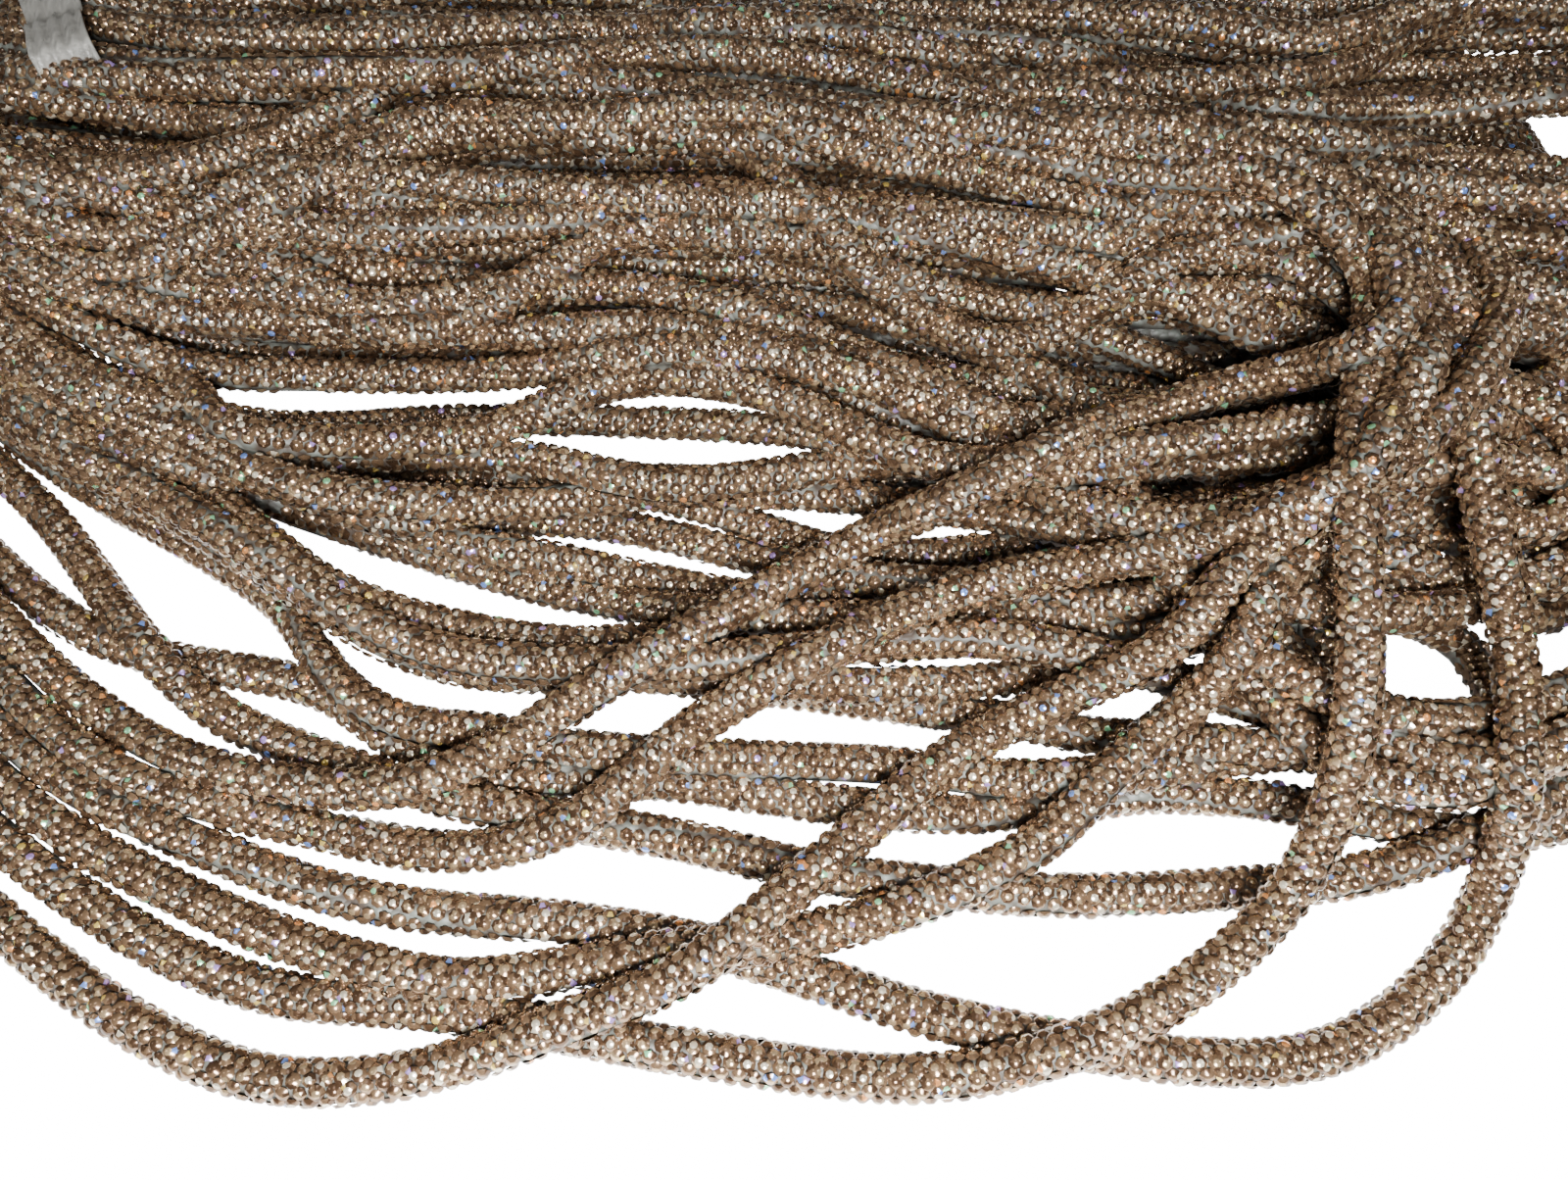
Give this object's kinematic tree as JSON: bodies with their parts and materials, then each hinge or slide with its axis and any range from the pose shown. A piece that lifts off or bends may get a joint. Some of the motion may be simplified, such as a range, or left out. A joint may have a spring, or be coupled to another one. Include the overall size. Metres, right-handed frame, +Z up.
{
  "type": "rhinestone cord hank",
  "caption": "Loose hank of round rhinestone cord, its front strands spread in low arcs over each other and its back gathered in one thick bundle with a clear plastic tie.",
  "frame": {"origin": "on the surface the hank lies on, under the middle of its box", "axes": "+Z up, +X along the hank to the right, +Y from the loose front strands to the bundle at the back"},
  "size_m": [0.4059, 0.2256, 0.0454],
  "materials": {
    "rhinestones": "foiled champagne stones in a grey mesh",
    "tie_plastic": "clouded clear film"
  },
  "bodies": {
    "root": {"hank": "rhinestones", "tie": "tie_plastic"}
  },
  "joints": []
}
